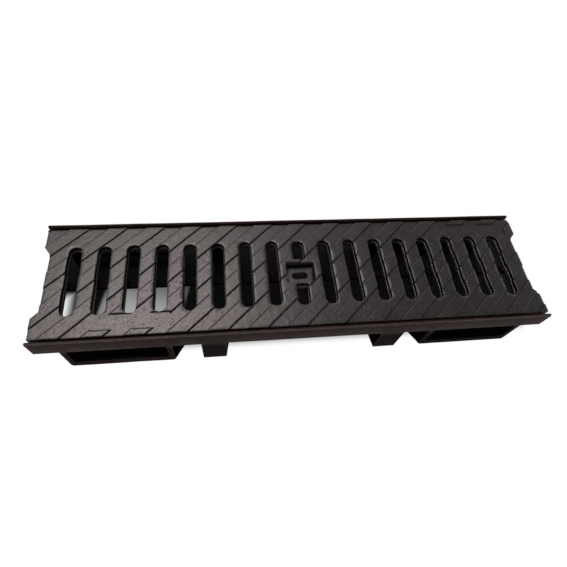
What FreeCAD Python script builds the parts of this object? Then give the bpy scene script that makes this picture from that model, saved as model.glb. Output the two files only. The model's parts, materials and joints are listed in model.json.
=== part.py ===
import FreeCAD, Part
import math
import os
import re
import Sketcher

# Slotted channel grate in ductile iron, resting in its cast frame.
# X runs along the drain, Y across it and Z up; the frame's feet stand on Z = 0.

DIMENSIONS = [
    # Frame
    ("frame_length", 500.0, "length of both side rails"),
    ("frame_width", 129.2, "over the outer faces of the rails"),
    ("foot_height", 36.0, "floor to the underside of the seat"),
    ("seat_thick", 3.5, "thickness of the seat that carries the grate"),
    ("seat_depth", 17.0, "seat to the top of the grate, the height of the grate"),
    ("rail_rise", 0.8, "top of the rails above the grate"),
    ("seat_width", 15.0, "rail face to the inner edge of the seat"),
    ("rail_wall", 3.0, "thickness of the upright rail"),
    ("rail_round", 1.3, "rounding along the top of the rail"),
    ("tie_width", 10.0, "end strips between the two seats"),
    # Feet under the rails
    ("foot_inset", 22.0, "rail end to the open foot"),
    ("foot_width", 99.5, "open foot at its outer face"),
    ("foot_flare", 32.0, "spread of the open foot towards its root, degrees"),
    ("foot_round", 3.0, "rounded lower corners of the open foot"),
    ("post_width", 5.0, "posts on either side of the foot window"),
    ("lip_height", 9.0, "lip below the foot window"),
    ("lip_thick", 4.0, "thickness of that lip"),
    ("sole_thick", 4.0, "sole of the open foot"),
    ("lug_gap", 27.5, "open foot to the solid lug beside it"),
    ("lug_width", 23.3, "solid lug at its outer face"),
    ("lug_flare", 10.0, "spread of the lug towards its root, degrees"),
    # Grate casting
    ("side_gap", 2.05, "clearance between grate and rail"),
    ("end_gap", 0.3, "grate end short of the rail end"),
    ("corner_round", 1.5, "plan corners of the grate"),
    ("top_round", 1.0, "rounding along the top edge of the grate"),
    ("plate_thick", 9.0, "top plate, tread included"),
    ("edge_rib", 10.0, "bearing ribs along the grate"),
    ("end_rib", 15.0, "bearing ribs across the ends"),
    ("stem_width", 6.5, "web under each bar"),
    ("stem_depth", 15.0, "depth of webs and spine below the top"),
    ("spine_width", 8.0, "lengthwise web under the slots"),
    # Slots and end notches
    ("slot_pitch", 27.5, "spacing of the slots"),
    ("slot_length", 73.0, "slot, tip to tip"),
    ("slot_width", 11.0, "slot at its throat"),
    ("slot_depth", 12.0, "slot below the top, through the plate and into the spine"),
    ("mouth_flare", 0.7, "extra width all round at the mouth of a slot"),
    ("mouth_depth", 1.8, "depth of the flared mouth"),
    ("notch_depth", 6.0, "notch in the ends of the grate"),
    ("notch_length", 77.0, "notch at the end face"),
    # Tread
    ("tread_pitch", 37.1, "spacing of the raised bands along the grate"),
    ("tread_sunk", 18.55, "sunk band between two raised ones"),
    ("tread_angle", 43.6, "bands against the length, degrees"),
    ("tread_depth", 1.6, "height of the raised bands"),
    ("tread_start", 12.6, "left edge of the middle sunk band, left of the centre"),
    ("plaque_length", 70.7, "flat plaques in the tread"),
    ("plaque_width", 16.0, "width of a plaque"),
    ("plaque_margin", 6.0, "plaque to the long edge of the grate"),
    ("near_plaque_inset", 51.5, "left plaque to the end of the grate"),
    ("far_plaque_inset", 10.4, "right plaque to the end of the grate"),
    # Lock recess
    ("lock_length", 29.0, "recess along the grate"),
    ("lock_width", 23.0, "recess across the grate"),
    ("lock_depth", 9.5, "recess floor below the top"),
    ("lock_floor", 5.0, "thickness of the recess floor"),
    ("lock_wall", 3.8, "wall between the recess and the slot pieces"),
    ("lock_round", 2.0, "corners of the recess"),
    ("bolt_length", 16.5, "oblong bolt hole along the grate"),
    ("bolt_width", 8.0, "oblong bolt hole across the grate"),
]
ALIASES = {alias for alias, value, meaning in DIMENSIONS}

doc = FreeCAD.newDocument("drain_grate")
sheet = doc.addObject("Spreadsheet::Sheet", "Sheet")
for row, (alias, value, meaning) in enumerate(DIMENSIONS, start=1):
    sheet.set("A%d" % row, meaning)
    sheet.set("B%d" % row, str(value))
    sheet.setAlias("B%d" % row, alias)
doc.recompute()

# Places that follow from the driving dimensions
RAIL_FACE = "(frame_width / 2)"
SEAT_EDGE = "(frame_width / 2 - seat_width)"
SEAT_TOP = "(foot_height + seat_thick)"
TOP = "(foot_height + seat_thick + seat_depth)"
RAIL_TOP = "(foot_height + seat_thick + seat_depth + rail_rise)"
HALF_LENGTH = "(frame_length / 2 - end_gap)"
HALF_WIDTH = "(frame_width / 2 - rail_wall - side_gap)"
SLOT_ROWS = "floor((%s - end_rib - slot_width / 2 - mouth_flare) / slot_pitch)" % HALF_LENGTH
TREAD_LEAN = "tan((90 - tread_angle) * 1 deg)"
TREAD_ROWS = "floor((%s + %s * %s) / tread_pitch)" % (HALF_LENGTH, HALF_WIDTH, TREAD_LEAN)
LOCK_BLOCK = "(lock_width / 2 + lock_wall)"


def bound(text):
    """The expression with the sheet's name before each of its aliases."""
    return re.sub("[a-z_]+", lambda m: "Sheet." + m[0] if m[0] in ALIASES else m[0], text)


def measure(text):
    """The present value of an expression over the aliases."""
    return float(sheet.evalExpression(bound(text)))


def origin_item(body, role):
    return next(item for item in body.Origin.OriginFeatures if item.Role == role)


def new_sketch(body, name, role="XY_Plane", offset="0"):
    """A sketch on one of the body's own planes, moved along its normal by an expression."""
    sketch = body.newObject("Sketcher::SketchObject", name)
    sketch.AttachmentSupport = [(origin_item(body, role), "")]
    sketch.MapMode = "FlatFace"
    sketch.setExpression("AttachmentOffset.Base.z", bound(offset))
    return sketch


def add_driven(sketch, kind, elements, text):
    """A dimension of the sketch that is driven by an expression."""
    index = sketch.addConstraint(Sketcher.Constraint(kind, *elements, measure(text)))
    sketch.setExpression("Constraints[%d]" % index, bound(text))


def pin_point(sketch, geometry, end, x, y):
    """Ties one point of a sketch to the origin by two expressions."""
    add_driven(sketch, "DistanceX", (-1, 1, geometry, end), x)
    add_driven(sketch, "DistanceY", (-1, 1, geometry, end), y)


def add_polygon(sketch, corners):
    """A closed outline of straight lines through corners given as pairs of expressions."""
    points = [FreeCAD.Vector(measure(x), measure(y), 0) for x, y in corners]
    ends = zip(points, points[1:] + points[:1])
    lines = [sketch.addGeometry(Part.LineSegment(start, stop)) for start, stop in ends]
    for line, follower in zip(lines, lines[1:] + lines[:1]):
        sketch.addConstraint(Sketcher.Constraint("Coincident", line, 2, follower, 1))
    for line, (x, y) in zip(lines, corners):
        pin_point(sketch, line, 1, x, y)


def add_rectangle(sketch, left, right, low, high):
    add_polygon(sketch, [(left, low), (right, low), (right, high), (left, high)])


def add_arc(sketch, x, y, radius, turn, sweep):
    """An arc about (x, y) with its start and its sweep counted in quarter turns."""
    centre = FreeCAD.Vector(measure(x), measure(y), 0)
    circle = Part.Circle(centre, FreeCAD.Vector(0, 0, 1), measure(radius))
    start = turn * math.pi / 2
    arc = sketch.addGeometry(Part.ArcOfCircle(circle, start, start + sweep * math.pi / 2))
    pin_point(sketch, arc, 3, x, y)
    add_driven(sketch, "Radius", (arc,), radius)
    return arc


def join_arcs(sketch, arcs):
    """Tangent lines from each arc to the next make one closed outline."""
    for tail, head in zip(arcs, arcs[1:] + arcs[:1]):
        start = sketch.getPoint(tail, 2)
        stop = sketch.getPoint(head, 1)
        line = sketch.addGeometry(Part.LineSegment(start, stop))
        sketch.addConstraint(Sketcher.Constraint("Tangent", tail, 2, line, 1))
        sketch.addConstraint(Sketcher.Constraint("Tangent", line, 2, head, 1))


def add_slot(sketch, x, y, length, width, along):
    """A round-ended opening about (x, y) that runs along X or along Y."""
    reach = "(((%s) - (%s)) / 2)" % (length, width)
    radius = "((%s) / 2)" % width
    arcs = []
    for sign, turn in (("+", 0), ("-", 2)):
        shift = " %s %s" % (sign, reach)
        if along == "X":
            arcs.append(add_arc(sketch, x + shift, y, radius, turn - 1, 2))
        else:
            arcs.append(add_arc(sketch, x, y + shift, radius, turn, 2))
    join_arcs(sketch, arcs)


def add_rounded_rectangle(sketch, half_x, half_y, radius):
    """A rectangle about the origin with round corners."""
    quarters = [("", ""), ("-", ""), ("-", "-"), ("", "-")]
    arcs = []
    for turn, (sign_x, sign_y) in enumerate(quarters):
        x = "%s(%s - %s)" % (sign_x, half_x, radius)
        y = "%s(%s - %s)" % (sign_y, half_y, radius)
        arcs.append(add_arc(sketch, x, y, radius, turn, 1))
    join_arcs(sketch, arcs)


def add_slot_piece(sketch, sign, inner, length, width):
    """One end of a lengthwise slot on X = 0: round at the tip and flat at the inner end."""
    radius = "((%s) / 2)" % width
    tip = "%s((%s) - (%s)) / 2" % (sign, length, width)
    arc = add_arc(sketch, "0", tip, radius, 0 if sign == "+" else 2, 2)
    flat_y = measure(sign + inner)
    corner = {}
    for end in (1, 2):
        corner[end] = FreeCAD.Vector(sketch.getPoint(arc, end).x, flat_y, 0)
    sides = {}
    for end in (1, 2):
        sides[end] = sketch.addGeometry(Part.LineSegment(sketch.getPoint(arc, end), corner[end]))
        sketch.addConstraint(Sketcher.Constraint("Coincident", arc, end, sides[end], 1))
        sketch.addConstraint(Sketcher.Constraint("Vertical", sides[end]))
    flat = sketch.addGeometry(Part.LineSegment(corner[1], corner[2]))
    sketch.addConstraint(Sketcher.Constraint("Coincident", sides[1], 2, flat, 1))
    sketch.addConstraint(Sketcher.Constraint("Coincident", sides[2], 2, flat, 2))
    sketch.addConstraint(Sketcher.Constraint("Horizontal", flat))
    add_driven(sketch, "DistanceY", (-1, 1, flat, 1), sign + inner)
    sketch.addConstraint(Sketcher.Constraint("Symmetric", arc, 1, arc, 2, arc, 3))


def add_pad(body, sketch, name, length, down=False):
    pad = body.newObject("PartDesign::Pad", name)
    pad.Profile = sketch
    pad.setExpression("Length", bound(length))
    pad.Reversed = down
    body.Tip = pad
    doc.recompute()
    return pad


def add_pocket(body, sketch, name, length, reverse=False, taper=None):
    """A cut into the body, which has to take material away."""
    doc.recompute()
    before = body.Shape.Volume
    pocket = body.newObject("PartDesign::Pocket", name)
    pocket.Profile = sketch
    pocket.setExpression("Length", bound(length))
    pocket.Reversed = reverse
    if taper is not None:
        pocket.setExpression("TaperAngle", bound(taper))
    body.Tip = pocket
    doc.recompute()
    if not body.Shape.Volume < before:
        raise RuntimeError(name + " cuts nothing")
    return pocket


def add_row(body, feature, name, step, count):
    """Copies of one feature along X."""
    copies = body.newObject("PartDesign::LinearPattern", name)
    copies.Originals = [feature]
    copies.Direction = (origin_item(body, "X_Axis"), [""])
    copies.Mode = "Spacing"
    copies.setExpression("Offset", bound(step))
    copies.setExpression("Occurrences", bound(count))
    body.Tip = copies
    doc.recompute()


def add_mirror(body, name, role):
    """The whole body again, across one of its origin planes."""
    mirror = body.newObject("PartDesign::Mirrored", name)
    mirror.TransformMode = "Whole shape"
    mirror.MirrorPlane = (origin_item(body, role), [""])
    body.Tip = mirror
    doc.recompute()


def add_fillet(body, name, radius, chosen):
    """Rounds the edges of the body whose ends and middle all pass the test."""
    base = body.Tip
    names = []
    for number, edge in enumerate(base.Shape.Edges, start=1):
        middle = edge.valueAt((edge.FirstParameter + edge.LastParameter) / 2)
        points = [vertex.Point for vertex in edge.Vertexes] + [middle]
        if all(chosen(point) for point in points):
            names.append("Edge%d" % number)
    fillet = body.newObject("PartDesign::Fillet", name)
    fillet.Base = (base, names)
    fillet.setExpression("Radius", bound(radius))
    body.Tip = fillet
    doc.recompute()


def near(value, target):
    return abs(value - target) < 0.001


def foot_outline(middle, width, flare):
    """Plan of a foot: narrow at the rail face and wider at its root under the seat."""
    half = "(%s) / 2" % width
    root = "(%s) / 2 + seat_width * tan((%s) * 1 deg)" % (width, flare)
    return [
        ("%s - (%s)" % (middle, half), "-" + RAIL_FACE),
        ("%s + (%s)" % (middle, half), "-" + RAIL_FACE),
        ("%s + (%s)" % (middle, root), "-" + SEAT_EDGE),
        ("%s - (%s)" % (middle, root), "-" + SEAT_EDGE),
    ]


def build_frame():
    """Two L-shaped rails with end strips between their seats and feet below.

    One quarter, to the right and near the viewer, is modelled and mirrored twice.
    """
    body = doc.addObject("PartDesign::Body", "frame")
    body.Label = "frame"
    rail_inside = "(frame_width / 2 - rail_wall)"
    section = new_sketch(body, "rail_section", "YZ_Plane")
    add_polygon(section, [
        ("-" + RAIL_FACE, "foot_height"),
        ("-" + SEAT_EDGE, "foot_height"),
        ("-" + SEAT_EDGE, SEAT_TOP),
        ("-" + rail_inside, SEAT_TOP),
        ("-" + rail_inside, RAIL_TOP),
        ("-" + RAIL_FACE, RAIL_TOP),
    ])
    add_pad(body, section, "rail", "frame_length / 2")
    top = measure(RAIL_TOP)
    sides = (-measure(RAIL_FACE), -measure(rail_inside))
    add_fillet(body, "rail_top", "rail_round",
               lambda p: near(p.z, top) and any(near(p.y, side) for side in sides))

    strip_plan = new_sketch(body, "strip_plan", offset="foot_height")
    add_rectangle(strip_plan, "frame_length / 2 - tie_width", "frame_length / 2", "-" + SEAT_EDGE, "0")
    add_pad(body, strip_plan, "end_strip", "seat_thick")

    foot_middle = "(frame_length / 2 - foot_inset - foot_width / 2)"
    foot_plan = new_sketch(body, "foot_plan")
    add_polygon(foot_plan, foot_outline(foot_middle, "foot_width", "foot_flare"))
    add_pad(body, foot_plan, "open_foot", "foot_height")
    middle = measure(foot_middle)
    half = measure("foot_width / 2")
    add_fillet(body, "foot_corners", "foot_round",
               lambda p: near(p.z, 0) and abs(p.x - middle) > half - 0.001)

    window_left = "%s - foot_width / 2 + post_width" % foot_middle
    window_right = "%s + foot_width / 2 - post_width" % foot_middle
    window = new_sketch(body, "window_outline", "XZ_Plane", SEAT_EDGE)
    add_rectangle(window, window_left, window_right, "lip_height", "foot_height")
    add_pocket(body, window, "foot_window", "seat_width", reverse=True)
    hollow = new_sketch(body, "hollow_plan", offset="sole_thick")
    add_rectangle(hollow, window_left, window_right, "lip_thick - " + RAIL_FACE, "-" + SEAT_EDGE)
    add_pocket(body, hollow, "foot_hollow", "lip_height - sole_thick", reverse=True)

    lug_middle = "(%s - foot_width / 2 - lug_gap - lug_width / 2)" % foot_middle
    lug_plan = new_sketch(body, "lug_plan")
    add_polygon(lug_plan, foot_outline(lug_middle, "lug_width", "lug_flare"))
    add_pad(body, lug_plan, "solid_lug", "foot_height")

    add_mirror(body, "left_half", "YZ_Plane")
    add_mirror(body, "far_half", "XZ_Plane")
    return body


def add_bearing_edges(body):
    """The top plate and the ribs round its underside that rest on the seat."""
    plate = new_sketch(body, "plate_plan")
    add_rectangle(plate, "-" + HALF_LENGTH, HALF_LENGTH, "-" + HALF_WIDTH, HALF_WIDTH)
    add_pad(body, plate, "top_plate", "plate_thick", down=True)
    ring = new_sketch(body, "rib_plan")
    inner_x = "(%s - end_rib)" % HALF_LENGTH
    inner_y = "(%s - edge_rib)" % HALF_WIDTH
    add_rectangle(ring, "-" + HALF_LENGTH, HALF_LENGTH, "-" + HALF_WIDTH, HALF_WIDTH)
    add_rectangle(ring, "-" + inner_x, inner_x, "-" + inner_y, inner_y)
    add_pad(body, ring, "bearing_ribs", "seat_depth", down=True)
    half_x = measure(HALF_LENGTH)
    half_y = measure(HALF_WIDTH)
    add_fillet(body, "plan_corners", "corner_round",
               lambda p: near(abs(p.x), half_x) and near(abs(p.y), half_y))
    inside_x = measure(inner_x)
    inside_y = measure(inner_y)
    add_fillet(body, "top_edges", "top_round",
               lambda p: near(p.z, 0) and (abs(p.x) > inside_x or abs(p.y) > inside_y))


def add_webs(body):
    """A web under each bar between two slots, and a spine across them all."""
    web = new_sketch(body, "web_plan")
    first = "(slot_pitch / 2 - %s * slot_pitch)" % SLOT_ROWS
    reach = "(%s - edge_rib / 2)" % HALF_WIDTH
    add_rectangle(web, first + " - stem_width / 2", first + " + stem_width / 2", "-" + reach, reach)
    feature = add_pad(body, web, "web", "stem_depth", down=True)
    add_row(body, feature, "webs", "slot_pitch", "2 * " + SLOT_ROWS)
    spine = new_sketch(body, "spine_plan", offset="-plate_thick")
    end = "(%s - end_rib / 2)" % HALF_LENGTH
    add_rectangle(spine, "-" + end, end, "-spine_width / 2", "spine_width / 2")
    add_pad(body, spine, "spine", "stem_depth - plate_thick", down=True)
    block = new_sketch(body, "lock_block_plan", offset="-plate_thick")
    block_x = "(lock_length / 2 + lock_wall)"
    add_rectangle(block, "-" + block_x, block_x, "-" + LOCK_BLOCK, LOCK_BLOCK)
    add_pad(body, block, "lock_block", "lock_depth + lock_floor - plate_thick", down=True)


def add_tread(body):
    """Sunk diagonal bands between raised ones, and two flat plaques at the same level."""
    plaques = new_sketch(body, "plaque_plan")
    outer_y = "(%s - plaque_margin)" % HALF_WIDTH
    inner_y = "(%s - plaque_margin - plaque_width)" % HALF_WIDTH
    left = "(near_plaque_inset - %s)" % HALF_LENGTH
    right = "(%s - far_plaque_inset)" % HALF_LENGTH
    add_rectangle(plaques, left, left + " + plaque_length", "-" + outer_y, "-" + inner_y)
    add_rectangle(plaques, right + " - plaque_length", right, inner_y, outer_y)
    add_pocket(body, plaques, "plaques", "tread_depth")
    band = new_sketch(body, "band_plan")
    start = "(-tread_start - %s * tread_pitch)" % TREAD_ROWS
    lean = "%s * %s" % (RAIL_FACE, TREAD_LEAN)
    add_polygon(band, [
        ("%s - %s" % (start, lean), "-" + RAIL_FACE),
        ("%s + tread_sunk - %s" % (start, lean), "-" + RAIL_FACE),
        ("%s + tread_sunk + %s" % (start, lean), RAIL_FACE),
        ("%s + %s" % (start, lean), RAIL_FACE),
    ])
    feature = add_pocket(body, band, "sunk_band", "tread_depth")
    add_row(body, feature, "sunk_bands", "tread_pitch", "2 * %s + 1" % TREAD_ROWS)


def add_slots(body):
    """Rows of slots to the left and right of the lock, each with a flared mouth."""
    for name, grow, depth, taper in (
        ("slot", "0", "slot_depth", None),
        ("mouth", "2 * mouth_flare", "mouth_depth", "-atan(mouth_flare / mouth_depth)"),
    ):
        length = "slot_length + " + grow
        width = "slot_width + " + grow
        pieces = new_sketch(body, name + "_piece_plan")
        for sign in ("+", "-"):
            add_slot_piece(pieces, sign, "(%s - (%s) / 2)" % (LOCK_BLOCK, grow), length, width)
        add_pocket(body, pieces, name + "_pieces", depth, taper=taper)
        plan = new_sketch(body, name + "_plan")
        add_slot(plan, "(-%s * slot_pitch)" % SLOT_ROWS, "0", length, width, "Y")
        add_slot(plan, "slot_pitch", "0", length, width, "Y")
        feature = add_pocket(body, plan, name, depth, taper=taper)
        add_row(body, feature, name + "_row", "slot_pitch", SLOT_ROWS)


def add_lock(body):
    """The recess for a locking bolt in the middle of the grate, with its oblong hole."""
    recess = new_sketch(body, "recess_plan")
    add_rounded_rectangle(recess, "lock_length / 2", "lock_width / 2", "lock_round")
    add_pocket(body, recess, "lock_recess", "lock_depth")
    hole = new_sketch(body, "bolt_hole_plan", offset="-lock_depth")
    add_slot(hole, "0", "0", "bolt_length", "bolt_width", "X")
    add_pocket(body, hole, "bolt_hole", "stem_depth - lock_depth")


def add_notches(body):
    """Shallow notches in both ends, which make half a slot between two grates in a row."""
    notch = new_sketch(body, "notch_plan")
    floor_x = "(%s - notch_depth)" % HALF_LENGTH
    floor_y = "(notch_length / 2 - notch_depth)"
    edge_y = "(notch_length / 2)"
    for sign in ("", "-"):
        add_polygon(notch, [
            (sign + HALF_LENGTH, "-" + edge_y),
            (sign + HALF_LENGTH, edge_y),
            (sign + floor_x, floor_y),
            (sign + floor_x, "-" + floor_y),
        ])
    add_pocket(body, notch, "end_notches", "seat_depth")


def build_grate():
    """The slotted casting, drawn from its top face down and lifted into the frame."""
    body = doc.addObject("PartDesign::Body", "grate")
    body.Label = "grate"
    body.setExpression("Placement.Base.z", bound(TOP))
    add_bearing_edges(body)
    add_webs(body)
    add_lock(body)
    add_notches(body)
    add_slots(body)
    add_tread(body)
    return body


bodies = [build_frame(), build_grate()]
doc.recompute()

for item in doc.Objects:
    if "Invalid" in item.State or "Error" in item.State:
        raise RuntimeError(item.Label + " failed to build")
for body in bodies:
    if body.Shape.isNull() or not body.Shape.isValid():
        raise RuntimeError(body.Label + " has no valid shape")

os.makedirs("parts", exist_ok=True)
for body in bodies:
    body.Shape.exportStep("parts/%s.step" % body.Label)
    print("%s: %d solid, %.0f mm3" % (body.Label, len(body.Shape.Solids), body.Shape.Volume))
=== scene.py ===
import json
import math

import bmesh
import bpy
import numpy as np
from mathutils import Matrix, Vector, noise
from mathutils.geometry import delaunay_2d_cdt

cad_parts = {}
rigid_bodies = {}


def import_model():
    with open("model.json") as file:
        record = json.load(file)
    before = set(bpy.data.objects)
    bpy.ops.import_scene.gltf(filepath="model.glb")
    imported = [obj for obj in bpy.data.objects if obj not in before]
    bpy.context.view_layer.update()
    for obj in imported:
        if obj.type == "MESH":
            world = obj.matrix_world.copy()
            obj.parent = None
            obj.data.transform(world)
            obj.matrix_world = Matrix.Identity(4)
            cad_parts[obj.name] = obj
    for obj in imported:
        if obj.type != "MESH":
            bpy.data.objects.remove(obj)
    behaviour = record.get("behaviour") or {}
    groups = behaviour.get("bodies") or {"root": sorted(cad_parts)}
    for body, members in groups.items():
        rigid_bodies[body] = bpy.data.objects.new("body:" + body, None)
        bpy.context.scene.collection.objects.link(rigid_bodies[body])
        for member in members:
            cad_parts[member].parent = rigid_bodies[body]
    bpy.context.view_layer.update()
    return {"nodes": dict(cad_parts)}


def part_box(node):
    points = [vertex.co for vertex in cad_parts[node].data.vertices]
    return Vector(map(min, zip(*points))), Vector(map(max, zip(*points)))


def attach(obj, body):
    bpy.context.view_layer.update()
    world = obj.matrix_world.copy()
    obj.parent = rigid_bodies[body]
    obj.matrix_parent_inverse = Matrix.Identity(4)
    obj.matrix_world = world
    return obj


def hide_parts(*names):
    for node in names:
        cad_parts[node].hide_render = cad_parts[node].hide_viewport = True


# Slotted channel grate in its frame: both castings with soft cast edges, a worn black coat with painted
# highlights, and painted shade.

for item in list(bpy.data.objects):
    bpy.data.objects.remove(item)
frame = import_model()

MM = 0.001

# Grate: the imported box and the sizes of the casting
GRATE_LOW, GRATE_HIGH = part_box("grate")
HALF_LENGTH = GRATE_HIGH.x
HALF_WIDTH = GRATE_HIGH.y
TOP = GRATE_HIGH.z
PLATE_LOW = TOP - 9.0 * MM
RIB_LOW = GRATE_LOW.z
WEB_LOW = TOP - 15.0 * MM
CORNER_ROUND = 1.5 * MM
EDGE_ROUND = 1.0 * MM
EDGE_RIB = 10.0 * MM
END_RIB = 15.0 * MM
WEB_WIDTH = 6.5 * MM
SPINE_WIDTH = 8.0 * MM
NOTCH_DEPTH = 6.0 * MM
NOTCH_LENGTH = 77.0 * MM

# Slots with a worn lip that has painted highlights on its arris and crest and a band of painted shade,
# and the lock recess between two short slots
SLOT_PITCH = 27.5 * MM
SLOT_LENGTH = 73.0 * MM
SLOT_WIDTH = 11.0 * MM
SLOT_LOW = TOP - 12.0 * MM
SLOT_ROWS = int((HALF_LENGTH - END_RIB - SLOT_WIDTH / 2) / SLOT_PITCH)
LIP_WIDTH = 1.4 * MM
LIP_SHARE, LIP_DROP, LIP_WEAR_AND_HIGHLIGHT, LIP_SHADE = range(4)
LIP_PROFILE = np.array([
    # Share of the lip's width outwards from the slot, drop, wear of the coat with painted highlights,
    # share of painted shade
    (0.0, 4.0 * MM, 0.6, 0.0),
    (0.2, 3.85 * MM, 0.6, 0.0),
    (0.35, 3.75 * MM, 0.0, 1.0),
    (0.55, 1.0 * MM, 0.0, 1.0),
    (0.75, 0.25 * MM, 0.6, 0.3),
    (1.0, 0.0, 0.4, 0.0),
    (1.3, 0.0, 0.0, 0.0),
])
LOCK_LENGTH = 29.0 * MM
LOCK_WIDTH = 23.0 * MM
LOCK_WALL = 3.8 * MM
LOCK_ROUND = 2.0 * MM
LOCK_FLOOR = TOP - 9.5 * MM
LOCK_LOW = TOP - 14.5 * MM
BOLT_LENGTH = 16.5 * MM
BOLT_WIDTH = 8.0 * MM

# Tread: raised bands with sunk ones between, and two sunk plaques
TREAD_PITCH = 37.1 * MM
TREAD_SUNK = 18.55 * MM
TREAD_START = -12.6 * MM
TREAD_ANGLE = math.radians(43.6)
TREAD_LEAN = 1 / math.tan(TREAD_ANGLE)
TREAD_DEPTH = 1.2 * MM
STEP_HALF = 0.28 * MM
WEAR_WIDTH = 0.9 * MM
PLAQUE_LENGTH = 70.7 * MM
PLAQUE_WIDTH = 16.0 * MM
PLAQUE_MARGIN = 6.0 * MM
NEAR_PLAQUE_INSET = 51.5 * MM
FAR_PLAQUE_INSET = 10.4 * MM

# Coat: its attributes for wear with painted highlights and for painted shade, the size, range and share
# of its patterns, and its rough faces painted dark as shade
WEAR_AND_HIGHLIGHT = "wear"
SHADE_MASK = "inner"
SHADE_DEPTH = 6.0 * MM
# Width of the painted shade along the foot of each tread step
CREVICE_SHADE_WIDTH = 0.8 * MM
MOTTLE_SIZE = 18.0 * MM
MOTTLE_RANGE = (0.3, 0.7)
SPECK_SIZE = 1.3 * MM
SPECK_RANGE = (0.35, 0.65)
SPECK_SHARE = 0.4
RUB_SIZE = 6.0 * MM
RUB_RANGE = (0.4, 0.65)
RUB_SHARE = 0.7
LUMP_SIZE = 5.0 * MM
PIT_SPACING = 5.5 * MM
PIT_RANGE = (0.1, 0.22)
GRAIN_SIZE = 1.1 * MM
SHEEN_TINT = (1.0, 0.87, 0.86)
# Painted shade: near-black colour for the faces in the slots and below the plate, the recess walls and
# the insides of the feet
PAINTED_SHADE_COLOUR = (0.004, 0.0034, 0.0034)
INNER_ROUGHNESS = 0.85
INNER_SPECULAR = 0.0
RUBBED_SPECULAR = 0.5
# Painted shade, darker towards the bottom: its share and the heights over which it fades out
LOW_SHADE_SHARE = 0.6
LOW_SHADE_FULL = 30.0 * MM
LOW_SHADE_END = 37.0 * MM

# Cast shape: edge rounds of the frame and the slight bend of both castings
FRAME_ROUND = 0.5 * MM
ROUND_SEGMENTS = 3
SHARP_ANGLE = math.radians(30)
FRAME_STEP = 12.0 * MM
RAIL_ROUND = 1.3 * MM
# Wear with a painted highlight on the rail tops, and less wear on the feet
RAIL_WEAR_AND_HIGHLIGHT = 0.7
FOOT_SKIN = 1.5 * MM
FOOT_WEAR = 0.3
WARP_SEED = 1
WARP_SCALE = 28.0
WARP_SIDE = 0.25 * MM
WARP_RISE = 0.04 * MM
SMOOTH_ANGLE = math.radians(50)

# Mesh: spacing, rows across the rounded edges and the tread steps, and limits
OUTLINE_STEP = 1.6 * MM
TREAD_STEP = 2.5 * MM
FILL_STEP = 3.0 * MM
FILL_CLEARANCE = 1.0 * MM
UNDERSIDE_STEP = 10 * OUTLINE_STEP
EDGE_TURNS = [math.radians(turn) for turn in (0, 30, 60, 90)]
STEP_SHARES = (-1, -0.6, -0.2, 0.2, 0.6, 1)
MERGE = 0.001 * MM
HEIGHT_DIGITS = 8
FLAT_ANGLE = math.radians(1)
DOWNWARD = -0.99


class Opening:
    """A rectangle in plan whose near and far ends have corner rounds of their own."""

    def __init__(self, left, right, near, far, near_round, far_round):
        self.left = left
        self.right = right
        self.near = near
        self.far = far
        self.near_round = near_round
        self.far_round = far_round

    def corner_arcs(self, grow=0.0):
        """Points of the four corner rounds, grown by a margin, from the right far one on."""
        near_round = self.near_round + grow
        far_round = self.far_round + grow
        right = self.right + grow
        left = self.left - grow
        far = self.far + grow
        near = self.near - grow
        centres = [
            (right - far_round, far - far_round, far_round),
            (left + far_round, far - far_round, far_round),
            (left + near_round, near + near_round, near_round),
            (right - near_round, near + near_round, near_round),
        ]
        arcs = []
        for quarter, (x, y, radius) in enumerate(centres):
            count = max(2, math.ceil(radius * math.pi / 2 / OUTLINE_STEP))
            turns = np.linspace(quarter, quarter + 1, count + 1) * math.pi / 2
            arcs.append([(x + radius * math.cos(t), y + radius * math.sin(t)) for t in turns])
        return arcs

    def outline(self, grow=0.0):
        """Points round the edge, grown by a margin."""
        return divided(sum(self.corner_arcs(grow), []), OUTLINE_STEP)

    def distance(self, x, y):
        """Signed distance of plan points from the edge, negative inside."""
        middle = (self.near + self.far) / 2
        corner = np.where(y < middle, self.near_round, self.far_round)
        across = np.abs(x - (self.left + self.right) / 2) - (self.right - self.left) / 2 + corner
        along = np.abs(y - middle) - (self.far - self.near) / 2 + corner
        outside = np.hypot(np.maximum(across, 0), np.maximum(along, 0))
        return outside + np.minimum(np.maximum(across, along), 0) - corner


def divided(points, step, closed=True):
    """The polyline with no piece longer than the step, and no repeated points."""
    ends = points[1:] + points[:1] if closed else points[1:]
    result = []
    for (x0, y0), (x1, y1) in zip(points, ends):
        length = math.hypot(x1 - x0, y1 - y0)
        if length > MERGE:
            for share in np.linspace(0, 1, math.ceil(length / step), endpoint=False):
                result.append((x0 + (x1 - x0) * share, y0 + (y1 - y0) * share))
    return result if closed else result + [points[-1]]


def make_slots():
    """The two rows of full slots and the two short pieces beside the lock."""
    half = SLOT_WIDTH / 2
    tip = SLOT_LENGTH / 2
    inner = LOCK_WIDTH / 2 + LOCK_WALL
    slots = []
    for row in range(-SLOT_ROWS, SLOT_ROWS + 1):
        x = row * SLOT_PITCH
        if row:
            slots.append(Opening(x - half, x + half, -tip, tip, half, half))
    slots.append(Opening(-half, half, inner, tip, EDGE_ROUND, half))
    slots.append(Opening(-half, half, -tip, -inner, half, EDGE_ROUND))
    return slots


def centred(half_x, half_y, corner):
    """An opening round the middle of the grate, with four equal corner rounds."""
    return Opening(-half_x, half_x, -half_y, half_y, corner, corner)


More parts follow.
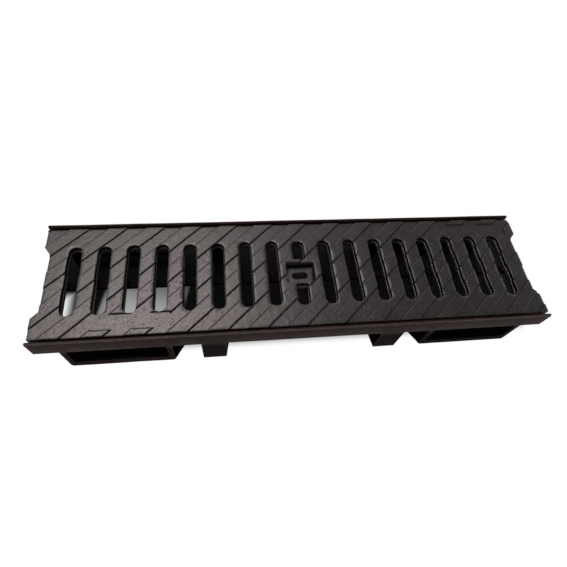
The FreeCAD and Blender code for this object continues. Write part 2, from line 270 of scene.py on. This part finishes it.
SLOTS = make_slots()
BLANK = centred(HALF_LENGTH, HALF_WIDTH, CORNER_ROUND)
RECESS = centred(LOCK_LENGTH / 2, LOCK_WIDTH / 2, LOCK_ROUND)
BOLT_HOLE = centred(BOLT_LENGTH / 2, BOLT_WIDTH / 2, BOLT_WIDTH / 2)
RIB_INSIDE = centred(HALF_LENGTH - END_RIB, HALF_WIDTH - EDGE_RIB, 0)
SPINE = centred(HALF_LENGTH - END_RIB / 2, SPINE_WIDTH / 2, 0)
LOCK_BLOCK = centred(LOCK_LENGTH / 2 + LOCK_WALL, LOCK_WIDTH / 2 + LOCK_WALL, 0)
PLAQUES = [
    Opening(
        NEAR_PLAQUE_INSET - HALF_LENGTH, NEAR_PLAQUE_INSET - HALF_LENGTH + PLAQUE_LENGTH,
        PLAQUE_MARGIN - HALF_WIDTH, PLAQUE_MARGIN - HALF_WIDTH + PLAQUE_WIDTH, STEP_HALF, STEP_HALF,
    ),
    Opening(
        HALF_LENGTH - FAR_PLAQUE_INSET - PLAQUE_LENGTH, HALF_LENGTH - FAR_PLAQUE_INSET,
        HALF_WIDTH - PLAQUE_MARGIN - PLAQUE_WIDTH, HALF_WIDTH - PLAQUE_MARGIN, STEP_HALF, STEP_HALF,
    ),
]


def blank_outline(inset):
    """Points round the grate, moved into the metal, with notched ends of 45 degree flanks."""
    mouth = NOTCH_LENGTH / 2 + inset * math.tan(math.pi / 8)
    floor = mouth - NOTCH_DEPTH
    end = HALF_LENGTH - inset
    notch = [(end, -mouth), (end - NOTCH_DEPTH, -floor), (end - NOTCH_DEPTH, floor), (end, mouth)]
    left_notch = [(-x, -y) for x, y in notch]
    right_far, left_far, left_near, right_near = BLANK.corner_arcs(-inset)
    return divided(right_far + left_far + left_notch + left_near + right_near + notch, OUTLINE_STEP)


def edge_distance(x, y):
    """How far plan points lie inside the outline of the grate."""
    across = np.abs(x)
    flank = (np.abs(y) - across - NOTCH_LENGTH / 2 + HALF_LENGTH) / math.sqrt(2)
    notch = np.maximum(HALF_LENGTH - NOTCH_DEPTH - across, flank)
    return np.minimum(-BLANK.distance(x, y), notch)


def band_distance(x, y):
    """Distance of plan points into a raised band, negative in a sunk one."""
    place = np.mod(x - y * TREAD_LEAN - TREAD_START, TREAD_PITCH)
    raised = np.minimum(place - TREAD_SUNK, TREAD_PITCH - place)
    sunk = np.minimum(place, TREAD_SUNK - place)
    return np.where(place > TREAD_SUNK, raised, -sunk) * math.sin(TREAD_ANGLE)


def slot_distance(x, y):
    """Distance of plan points from the nearest slot, negative inside."""
    return np.min([slot.distance(x, y) for slot in SLOTS], axis=0)


def soft_step(distance):
    """From 0 to 1 across the edge of a raised band."""
    share = np.clip(distance / (2 * STEP_HALF) + 0.5, 0, 1)
    return share * share * (3 - 2 * share)


def round_over(distance, radius):
    """How far a rounded edge lies below the face, by the distance from the edge."""
    run = np.clip(radius - distance, 0, radius)
    return radius - np.sqrt(radius * radius - run * run)


def lip_profile(x, y, column):
    """A column of the lip profile at plan points, by their distance from the slots."""
    share = slot_distance(x, y) / LIP_WIDTH
    return np.interp(share, LIP_PROFILE[:, LIP_SHARE], LIP_PROFILE[:, column])


def tread_distance(x, y):
    """Distance of plan points into the raised tread, negative in a sunk band or on a plaque."""
    return np.min([band_distance(x, y)] + [plaque.distance(x, y) for plaque in PLAQUES], axis=0)


def top_height(x, y):
    """Height of the top face: tread, rounded edges and the lips of the slots."""
    drop = TREAD_DEPTH * (1 - soft_step(tread_distance(x, y)))
    drop += round_over(edge_distance(x, y), EDGE_ROUND)
    drop += round_over(RECESS.distance(x, y), EDGE_ROUND)
    return TOP - drop - lip_profile(x, y, LIP_DROP)


def plan_lines():
    """Every line in plan that the mesh follows, as (points, closed) pairs."""
    lines = []
    for inset in [EDGE_ROUND * (1 - math.cos(turn)) for turn in EDGE_TURNS]:
        lines.append((blank_outline(inset), True))
        lines.append((RECESS.outline(inset), True))
    lines.append((BOLT_HOLE.outline(), True))
    for slot in SLOTS:
        for share in LIP_PROFILE[:-1, LIP_SHARE]:
            lines.append((slot.outline(share * LIP_WIDTH), True))
    offsets = [share * STEP_HALF for share in STEP_SHARES]
    offsets += [-STEP_HALF - WEAR_WIDTH, STEP_HALF + WEAR_WIDTH]
    for plaque in PLAQUES:
        for offset in offsets:
            lines.append((plaque.outline(offset), True))
    reach = HALF_WIDTH * TREAD_LEAN
    rows = math.ceil((HALF_LENGTH + reach) / TREAD_PITCH)
    for row in range(-rows, rows + 1):
        for edge in (0, TREAD_SUNK):
            for offset in offsets:
                x = row * TREAD_PITCH + TREAD_START + edge + offset / math.sin(TREAD_ANGLE)
                line = divided([(x - reach, -HALF_WIDTH), (x + reach, HALF_WIDTH)], TREAD_STEP, False)
                lines.append(([p for p in line if abs(p[0]) < HALF_LENGTH], False))
    return lines + underside_lines()


def underside_boxes():
    """Rectangles of the webs, the spine and the lock block, each with its lower face."""
    boxes = []
    for row in range(-SLOT_ROWS, SLOT_ROWS):
        x = (row + 0.5) * SLOT_PITCH
        reach = HALF_WIDTH - EDGE_RIB / 2
        boxes.append((Opening(x - WEB_WIDTH / 2, x + WEB_WIDTH / 2, -reach, reach, 0, 0), WEB_LOW))
    return boxes + [(SPINE, WEB_LOW), (LOCK_BLOCK, LOCK_LOW)]


def underside_lines():
    """Outlines of the ribs, webs, spine and lock block below the plate."""
    boxes = [RIB_INSIDE] + [box for box, _ in underside_boxes()]
    return [(corner_points(box), True) for box in boxes]


def corner_points(box):
    """Points round a box with sharp corners."""
    corners = [(box.left, box.near), (box.right, box.near), (box.right, box.far), (box.left, box.far)]
    return divided(corners, UNDERSIDE_STEP)


def fill_points():
    """A grid of points over the open faces, clear of the lines there."""
    xs = np.arange(-HALF_LENGTH, HALF_LENGTH, FILL_STEP)
    ys = np.arange(-HALF_WIDTH, HALF_WIDTH, FILL_STEP)
    x, y = (part.ravel() for part in np.meshgrid(xs, ys))
    clear = np.abs(band_distance(x, y)) - STEP_HALF - WEAR_WIDTH
    clear = np.minimum(clear, slot_distance(x, y) - LIP_WIDTH)
    clear = np.minimum(clear, edge_distance(x, y) - EDGE_ROUND)
    clear = np.minimum(clear, np.abs(RECESS.distance(x, y)) - EDGE_ROUND)
    for plaque in PLAQUES:
        clear = np.minimum(clear, np.abs(plaque.distance(x, y)) - STEP_HALF - WEAR_WIDTH)
    kept = clear > FILL_CLEARANCE
    return list(zip(x[kept], y[kept]))


def triangulate_plan():
    """Plan points and triangles that follow every line."""
    points = []
    edges = []
    for line, closed in plan_lines():
        first = len(points)
        points.extend(line)
        last = len(points) - 1
        edges.extend((index, index + 1) for index in range(first, last))
        if closed:
            edges.append((last, first))
    points.extend(fill_points())
    coords = [Vector(point) for point in points]
    plan, _, triangles, *_ = delaunay_2d_cdt(coords, edges, [], 0, MERGE)
    return np.array([tuple(point) for point in plan]), np.array(triangles)


# Kinds of top face: none in an opening, the tread, or a flat floor
NONE, TREAD, FLAT = range(3)


def classify(x, y):
    """Kind of top face, its level where it is flat, and the level of the lower face."""
    kind = np.full(len(x), TREAD)
    level = np.full(len(x), TOP)
    low = np.full(len(x), PLATE_LOW)
    for box, box_low in underside_boxes():
        low = np.where(box.distance(x, y) < 0, np.minimum(low, box_low), low)
    low = np.where(RIB_INSIDE.distance(x, y) > 0, RIB_LOW, low)
    recess = RECESS.distance(x, y) < 0
    kind[recess] = FLAT
    level[recess] = LOCK_FLOOR
    slot = slot_distance(x, y) < 0
    kind[slot] = NONE
    bridge = slot & (SPINE.distance(x, y) < 0)
    kind[bridge] = FLAT
    level[bridge] = SLOT_LOW
    kind[(BOLT_HOLE.distance(x, y) < 0) | (edge_distance(x, y) < 0)] = NONE
    return kind, level, low


class Shell:
    """Collects the corners and faces of a closed mesh."""

    def __init__(self, plan):
        self.plan = plan
        self.index = {}
        self.corners = []
        self.faces = []
        self.levels = [set() for _ in plan]

    def corner(self, point, height):
        key = (point, round(height, HEIGHT_DIGITS))
        if key not in self.index:
            self.index[key] = len(self.corners)
            self.corners.append((*self.plan[point], height))
        return self.index[key]

    def column(self, point, low, high):
        """The corners above one plan point from one height up to another."""
        between = [z for z in self.levels[point] if low - MERGE < z < high + MERGE]
        return [self.corner(point, z) for z in sorted(between)]


def casting_shell():
    """The grate as a closed mesh of top, lower faces and the walls between them."""
    plan, triangles = triangulate_plan()
    x, y = plan[triangles].mean(axis=1).T
    kind, level, low = classify(x, y)
    tread = top_height(*plan.T)
    shell = Shell(plan)
    neighbours = {}
    for number, corners in enumerate(triangles):
        for start, stop in zip(corners, np.roll(corners, -1)):
            neighbours[int(start), int(stop)] = number

    def ceiling(number, point):
        height = tread[point] if kind[number] == TREAD else level[number]
        return round(float(height), HEIGHT_DIGITS)

    def base(number):
        return round(float(low[number]), HEIGHT_DIGITS)

    walls = []
    for (start, stop), number in neighbours.items():
        if kind[number] == NONE:
            continue
        other = neighbours.get((stop, start))
        open_side = other is None or kind[other] == NONE
        floor = base(number)
        for point in (start, stop):
            shell.levels[point].update((floor, ceiling(number, point)))
        if open_side:
            walls.append((start, stop, [floor] * 2, [ceiling(number, p) for p in (start, stop)]))
            continue
        other_floor = base(other)
        if floor < other_floor:
            walls.append((start, stop, [floor] * 2, [other_floor] * 2))
        tops = [(ceiling(number, p), ceiling(other, p)) for p in (start, stop)]
        if any(mine > theirs for mine, theirs in tops):
            walls.append((start, stop, [t[1] for t in tops], [t[0] for t in tops]))
    for number, corners in enumerate(triangles):
        if kind[number] != NONE:
            points = [int(p) for p in corners]
            shell.faces.append([shell.corner(p, ceiling(number, p)) for p in points])
            shell.faces.append([shell.corner(p, base(number)) for p in reversed(points)])
    for start, stop, bottoms, tops in walls:
        left = shell.column(start, bottoms[0], tops[0])
        right = shell.column(stop, bottoms[1], tops[1])
        shell.faces.append(left[:1] + right + left[:0:-1])
    return shell


def link(name, mesh):
    """A new object of the scene with this mesh."""
    item = bpy.data.objects.new(name, mesh)
    bpy.context.scene.collection.objects.link(item)
    return item


def warp(bm, low, high):
    """Bends a casting a little, with its base left flat and the same bend in each run."""
    noise.seed_set(WARP_SEED)
    for vertex in bm.verts:
        lift = (vertex.co.z - low) / (high - low)
        drift = noise.noise_vector(vertex.co * WARP_SCALE)
        vertex.co += Vector((drift.x * WARP_SIDE, drift.y * WARP_SIDE, drift.z * WARP_RISE * lift))


def top_wear_and_highlight(x, y, z):
    """How worn the coat is at points of the grate, with painted highlights: most on the crests and lips
    of its top face, and on the arris at the foot of each lip.
    """
    crest = 1 - np.abs(tread_distance(x, y) - STEP_HALF) / WEAR_WIDTH
    lip = lip_profile(x, y, LIP_WEAR_AND_HIGHLIGHT)
    rim = 1 - np.minimum(edge_distance(x, y), np.abs(RECESS.distance(x, y))) / EDGE_ROUND
    share = np.clip(np.max([crest, lip, rim], axis=0), 0, 1)
    return np.where(z > top_height(x, y) - MERGE, share, 0)


def painted_shade_share(x, y, z):
    """Painted shade: 1 on the rough faces in the slots and below, on a band of the lip, and along the
    foot of the tread and the recess.
    """
    deep = (z < TOP - SHADE_DEPTH) & (RECESS.distance(x, y) > -MERGE)
    # Painted shade on a band of each slot's lip
    lip = lip_profile(x, y, LIP_SHADE)
    # Painted shade in the crease at the foot of each tread step, away from the recess and the lips
    crevice_shade = 1 - np.abs(tread_distance(x, y) + STEP_HALF) / CREVICE_SHADE_WIDTH
    crevice_shade = np.where((RECESS.distance(x, y) > 0) & (slot_distance(x, y) > LIP_WIDTH / 2), crevice_shade, 0)
    return np.clip(np.max([deep, lip, crevice_shade], axis=0), 0, 1)


def finish_casting(bm, name, node):
    """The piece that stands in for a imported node."""
    low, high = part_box(node)
    warp(bm, low.z, high.z)
    mesh = bpy.data.meshes.new(name)
    bm.to_mesh(mesh)
    bm.free()
    mesh.shade_smooth()
    mesh.set_sharp_from_angle(angle=SMOOTH_ANGLE)
    piece = link(name, mesh)
    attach(piece, "root")
    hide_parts(node)
    return piece


def make_grate():
    """The grate with soft edges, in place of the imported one."""
    shell = casting_shell()
    bm = bmesh.new()
    corners = [bm.verts.new(corner) for corner in shell.corners]
    for face in shell.faces:
        bm.faces.new([corners[number] for number in face])
    bm.normal_update()
    lower = [edge for edge in bm.edges if all(face.normal.z < DOWNWARD for face in edge.link_faces)]
    points = list(dict.fromkeys(vertex for edge in lower for vertex in edge.verts))
    bmesh.ops.dissolve_limit(bm, angle_limit=FLAT_ANGLE, verts=points, edges=lower)
    bmesh.ops.triangulate(bm, faces=bm.faces)
    places = np.array([tuple(vertex.co) for vertex in bm.verts])
    for name, shares in ((WEAR_AND_HIGHLIGHT, top_wear_and_highlight(*places.T)), (SHADE_MASK, painted_shade_share(*places.T))):
        layer = bm.verts.layers.float.new(name)
        for vertex, share in zip(bm.verts, shares):
            vertex[layer] = share
    return finish_casting(bm, "grate_casting", "grate")


def make_frame():
    """The frame with soft edges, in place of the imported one."""
    low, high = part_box("frame")
    bm = bmesh.new()
    bm.from_mesh(frame["nodes"]["frame"].data)
    bmesh.ops.remove_doubles(bm, verts=bm.verts, dist=MERGE)
    bmesh.ops.dissolve_limit(bm, angle_limit=FLAT_ANGLE, verts=bm.verts, edges=bm.edges)
    wear = bm.faces.layers.float.new(WEAR_AND_HIGHLIGHT)
    inner = bm.faces.layers.float.new(SHADE_MASK)
    sharp = [edge for edge in bm.edges if edge.calc_face_angle() > SHARP_ANGLE]
    rounds = bmesh.ops.bevel(
        bm, geom=sharp, offset=FRAME_ROUND, offset_type="OFFSET", segments=ROUND_SEGMENTS, profile=0.5,
        affect="EDGES", clamp_overlap=False, loop_slide=True,
    )
    for face in rounds["faces"]:
        face[wear] = 1.0
    for face in bm.faces:
        place = face.calc_center_median()
        # Rail tops: wear with a painted highlight
        if place.z > high.z - RAIL_ROUND:
            face[wear] = RAIL_WEAR_AND_HIGHLIGHT * float(abs(place.y) > high.y - RAIL_ROUND)
        # Faces below the grate, but for the outer skin of the feet, get painted shade
        elif place.z < GRATE_LOW.z:
            face[wear] *= FOOT_WEAR
            face[inner] = float(abs(place.y) < high.y - FOOT_SKIN)
    for x in np.arange(low.x + FRAME_STEP, high.x, FRAME_STEP):
        every = bm.verts[:] + bm.edges[:] + bm.faces[:]
        bmesh.ops.bisect_plane(bm, geom=every, plane_co=(x, 0, 0), plane_no=(1, 0, 0))
    bmesh.ops.triangulate(bm, faces=bm.faces)
    return finish_casting(bm, "frame_casting", "frame")


def add_node(tree, kind, inputs=None, **settings):
    """A node with its settings, and its inputs set to values or linked to sockets."""
    made = tree.nodes.new(kind)
    for key, value in settings.items():
        setattr(made, key, value)
    for key, value in (inputs or {}).items():
        if isinstance(value, bpy.types.NodeSocket):
            tree.links.new(value, made.inputs[key])
        else:
            made.inputs[key].default_value = value
    return made


def calculate(tree, operation, one, other):
    """Socket with the result of a sum on two values or sockets."""
    return add_node(tree, "ShaderNodeMath", {0: one, 1: other}, operation=operation).outputs[0]


class Coat:
    """Node material of a satin black coat on sand-cast iron, rubbed thin along the edges with painted
    highlights, and with painted shade on inner, creased and low faces.
    """

    def __init__(self, name, specular):
        self.material = bpy.data.materials.new(name)
        self.material.use_nodes = True
        self.tree = self.material.node_tree
        self.shader = self.tree.nodes["Principled BSDF"]
        self.specular = specular
        self.shader.inputs["Specular Tint"].default_value = (*SHEEN_TINT, 1)
        self.place = self.node("ShaderNodeTexCoord").outputs["Object"]

    def node(self, kind, inputs=None, **settings):
        return add_node(self.tree, kind, inputs, **settings)

    def noise(self, size, detail, limits=(0.0, 1.0)):
        """Noise with lumps of a given size, stretched from its limits to 0 and 1."""
        raw = self.node("ShaderNodeTexNoise", {"Vector": self.place, "Scale": 1 / size, "Detail": detail})
        return self.spread(raw.outputs["Fac"], *limits, 0.0, 1.0)

    def connect(self, name, socket):
        self.tree.links.new(socket, self.shader.inputs[name])

    def spread(self, value, low, high, first, last):
        """The value carried over from one range to another."""
        inputs = {"Value": value, "From Min": low, "From Max": high, "To Min": first, "To Max": last}
        return self.node("ShaderNodeMapRange", inputs).outputs["Result"]

    def product(self, one, other):
        return calculate(self.tree, "MULTIPLY", one, other)

    def mix(self, share, first, last):
        """Colour between two colours or colour sockets."""
        inputs = {"Factor": share}
        for key, colour in (("A", first), ("B", last)):
            inputs[key] = colour if isinstance(colour, bpy.types.NodeSocket) else (*colour, 1)
        made = self.tree.nodes.new("ShaderNodeMix")
        made.data_type = "RGBA"
        sockets = {s.name: s for s in made.inputs if s.enabled}
        for key, value in inputs.items():
            if isinstance(value, bpy.types.NodeSocket):
                self.tree.links.new(value, sockets[key])
            else:
                sockets[key].default_value = value
        return next(s for s in made.outputs if s.enabled)

    def paint(self, dark, pale, worn, satin, dull):
        """Mottled and speckled colour, paler where worn and where highlights are painted, near black
        where shade is painted, with a roughness that follows it.
        """
        mottle = self.noise(MOTTLE_SIZE, detail=5.0, limits=MOTTLE_RANGE)
        speck = self.noise(SPECK_SIZE, detail=2.0, limits=SPECK_RANGE)
        coat = self.mix(mottle, dark, pale)
        coat = self.mix(self.product(speck, SPECK_SHARE), coat, pale)
        # Wear with painted highlights: paler colour and more shine on edges, crests, lips and rail tops
        wear = self.node("ShaderNodeAttribute", attribute_name=WEAR_AND_HIGHLIGHT).outputs["Fac"]
        rubbed = self.product(wear, self.noise(RUB_SIZE, detail=4.0, limits=RUB_RANGE))
        coat = self.mix(self.product(rubbed, RUB_SHARE), coat, worn)
        # Painted shade, darker towards the bottom of the castings near the floor
        height = self.node("ShaderNodeSeparateXYZ", {0: self.place}).outputs["Z"]
        low_shade = self.spread(height, LOW_SHADE_FULL, LOW_SHADE_END, LOW_SHADE_SHARE, 0.0)
        inner = self.node("ShaderNodeAttribute", attribute_name=SHADE_MASK).outputs["Fac"]
        inner = calculate(self.tree, "MAXIMUM", inner, low_shade)
        # Painted shade: the coat goes near black on inner, creased and low faces
        self.connect("Base Color", self.mix(inner, coat, PAINTED_SHADE_COLOUR))
        smooth = self.spread(speck, 0.0, 1.0, satin, dull)
        shine = self.spread(wear, 0.0, 1.0, self.specular, RUBBED_SPECULAR)
        for name, outer, deep in (
            ("Roughness", smooth, INNER_ROUGHNESS), ("Specular IOR Level", shine, INNER_SPECULAR),
        ):
            self.connect(name, self.node("ShaderNodeMix", {0: inner, 2: outer, 3: deep}).outputs[0])

    def bump(self, height, depth, below=None):
        """Normal of a surface with bumps of a given depth, on top of those below."""
        inputs = {"Height": height, "Strength": 1.0, "Distance": depth}
        if below is not None:
            inputs["Normal"] = below
        return self.node("ShaderNodeBump", inputs).outputs[0]

    def emboss(self, grain_height, lump_height):
        """Sand grain on soft lumps, with a few pits."""
        surface = self.bump(self.noise(LUMP_SIZE, detail=2.0), lump_height)
        spots = self.node("ShaderNodeTexVoronoi", {"Vector": self.place, "Scale": 1 / PIT_SPACING})
        pits = self.spread(spots.outputs["Distance"], *PIT_RANGE, 0.0, 1.0)
        surface = self.bump(pits, grain_height, surface)
        surface = self.bump(self.noise(GRAIN_SIZE, detail=3.0), grain_height, surface)
        self.connect("Normal", surface)


def grate_coat():
    coat = Coat("grate_coat", specular=0.5)
    coat.paint(
        dark=(0.007, 0.006, 0.006), pale=(0.016, 0.0137, 0.0137), worn=(0.06, 0.053, 0.05),
        satin=0.36, dull=0.48,
    )
    coat.emboss(grain_height=0.13 * MM, lump_height=0.28 * MM)
    return coat.material


def frame_coat():
    coat = Coat("frame_coat", specular=0.025)
    coat.paint(
        dark=(0.010, 0.0048, 0.0038), pale=(0.0225, 0.0112, 0.009), worn=(0.06, 0.041, 0.035),
        satin=0.46, dull=0.6,
    )
    coat.emboss(grain_height=0.06 * MM, lump_height=0.35 * MM)
    return coat.material


castings = bpy.data.collections.new("castings")
for make, coat in ((make_grate, grate_coat), (make_frame, frame_coat)):
    casting = make()
    casting.data.materials.append(coat())
    castings.objects.link(casting)

# Floor, light and camera: the floor keeps its shadow below the grate, behind it and at its right end
FLOOR_SIZE = 8.0
FLOOR_COLOUR = (0.85, 0.85, 0.85)
FLOOR_ROUGHNESS = 0.9
SHADOW_BOXES = [
    (Vector((-233.0, -42.0)) * MM, Vector((252.0, 73.0)) * MM),
    (Vector((-250.0, 20.0)) * MM, Vector((252.0, 60.0)) * MM),
    (Vector((252.0, -30.0)) * MM, Vector((268.0, 73.0)) * MM),
]
SHADOW_FADE = 16.0 * MM
FILL_LIGHT = 0.012
CEILING_LIGHT = 0.03
WALL_FADE = (0.35, 0.75)
MIDDLE = (0, 0, 0.04)
CAMERA_PLACE = Vector((-74.09, -216.92, 416.25)) * MM
CAMERA_AIM = Vector((-19.21, -13.73, 56.5)) * MM
CAMERA_ROLL = math.radians(10.72)
CAMERA_LENS = 26.78
CAMERA_CLIP = 10.0 * MM


def background_rays(tree):
    """1 for rays that see the background: straight from the camera, mirrored or through glass."""
    path = add_node(tree, "ShaderNodeLightPath").outputs
    seen = calculate(tree, "MAXIMUM", path["Is Camera Ray"], path["Is Glossy Ray"])
    return calculate(tree, "MAXIMUM", seen, path["Is Transmission Ray"])


def floor_material():
    """Pale floor that keeps the shadow at the object and turns white away from it."""
    material = bpy.data.materials.new("pale_floor")
    material.use_nodes = True
    tree = material.node_tree
    shader = tree.nodes["Principled BSDF"]
    shader.inputs["Base Color"].default_value = (*FLOOR_COLOUR, 1)
    shader.inputs["Roughness"].default_value = FLOOR_ROUGHNESS
    shader.inputs["Specular IOR Level"].default_value = 0.0

    def vector(operation, one, other=(0, 0, 0)):
        return add_node(tree, "ShaderNodeVectorMath", {0: one, 1: other}, operation=operation).outputs

    place = add_node(tree, "ShaderNodeTexCoord").outputs["Object"]
    gap = None
    for low, high in SHADOW_BOXES:
        offset = vector("ABSOLUTE", vector("SUBTRACT", place, (*(low + high) / 2, 0))[0])[0]
        outside = vector("MAXIMUM", vector("SUBTRACT", offset, (*(high - low) / 2, 0))[0])[0]
        away = vector("LENGTH", outside)["Value"]
        gap = away if gap is None else calculate(tree, "MINIMUM", gap, away)
    reach = {"Value": gap, "From Max": SHADOW_FADE}
    share = add_node(tree, "ShaderNodeMapRange", reach, interpolation_type="SMOOTHSTEP").outputs[0]
    white = calculate(tree, "MULTIPLY", share, background_rays(tree))
    glow = add_node(tree, "ShaderNodeEmission", {"Color": (1, 1, 1, 1), "Strength": 1.0})
    mixed = add_node(tree, "ShaderNodeMixShader", {0: white, 1: shader.outputs[0], 2: glow.outputs[0]})
    tree.links.new(mixed.outputs[0], tree.nodes["Material Output"].inputs["Surface"])
    return material


def make_floor():
    mesh = bpy.data.meshes.new("floor")
    half = FLOOR_SIZE / 2
    corners = [(-half, -half, 0), (half, -half, 0), (half, half, 0), (-half, half, 0)]
    mesh.from_pydata(corners, [], [(0, 1, 2, 3)])
    mesh.materials.append(floor_material())
    link("floor", mesh)


def make_world():
    """Studio with white walls and a dim ceiling, and a little fill light."""
    world = bpy.data.worlds.new("studio")
    bpy.context.scene.world = world
    world.use_nodes = True
    tree = world.node_tree
    background = tree.nodes["Background"]
    background.inputs["Color"].default_value = (1, 1, 1, 1)
    direction = add_node(tree, "ShaderNodeTexCoord").outputs["Generated"]
    height = add_node(tree, "ShaderNodeSeparateXYZ", {0: direction}).outputs["Z"]
    low, high = WALL_FADE
    wall = add_node(tree, "ShaderNodeMapRange", {
        "Value": height, "From Min": low, "From Max": high, "To Min": 1.0, "To Max": CEILING_LIGHT,
    })
    strength = add_node(tree, "ShaderNodeMapRange", {
        "Value": background_rays(tree), "To Min": FILL_LIGHT, "To Max": wall.outputs[0],
    })
    tree.links.new(strength.outputs[0], background.inputs["Strength"])


def area_light(name, place, aim, size, power, spread=math.pi):
    """A softbox that shines from a place towards another, with a grid where the spread is small."""
    light = bpy.data.lights.new(name, "AREA")
    light.shape = "RECTANGLE"
    light.size, light.size_y = size
    light.energy = power
    light.spread = spread
    item = bpy.data.objects.new(name, light)
    bpy.context.scene.collection.objects.link(item)
    item.location = place
    item.rotation_euler = (Vector(aim) - Vector(place)).to_track_quat("-Z", "Y").to_euler()
    return item


make_floor()
make_world()

# The softboxes light the castings alone, and a narrow beam falls on the left foot
softboxes = [
    area_light("sheen", (-0.41, 0.44, 1.28), aim=(-0.15, 0, 0.06), size=(0.8, 0.45), power=19.2),
    area_light("front", (0.1, -1.3, 0.42), aim=MIDDLE, size=(1.2, 0.4), power=7),
    area_light("back", (0, 1.3, 0.3), aim=MIDDLE, size=(1.2, 0.4), power=5),
    area_light("left", (-1.4, 0, 0.3), aim=MIDDLE, size=(0.6, 0.4), power=4),
    area_light("right", (1.4, 0, 0.2), aim=MIDDLE, size=(0.6, 0.3), power=2.5),
]
for softbox in softboxes:
    softbox.light_linking.receiver_collection = castings
area_light(
    "low_front", (-0.265, -0.42, 0.18), aim=(-0.180, -0.064, 0.020), size=(0.085, 0.022),
    power=0.0092, spread=math.radians(6),
)

camera = bpy.data.objects.new("camera", bpy.data.cameras.new("camera"))
bpy.context.scene.collection.objects.link(camera)
camera.data.lens = CAMERA_LENS
look = (CAMERA_AIM - CAMERA_PLACE).to_track_quat("-Z", "Y").to_matrix().to_4x4()
camera.matrix_world = Matrix.Translation(CAMERA_PLACE) @ look @ Matrix.Rotation(CAMERA_ROLL, 4, "Z")
camera.data.clip_start = CAMERA_CLIP
bpy.context.scene.camera = camera
bpy.context.scene.view_settings.view_transform = "Standard"
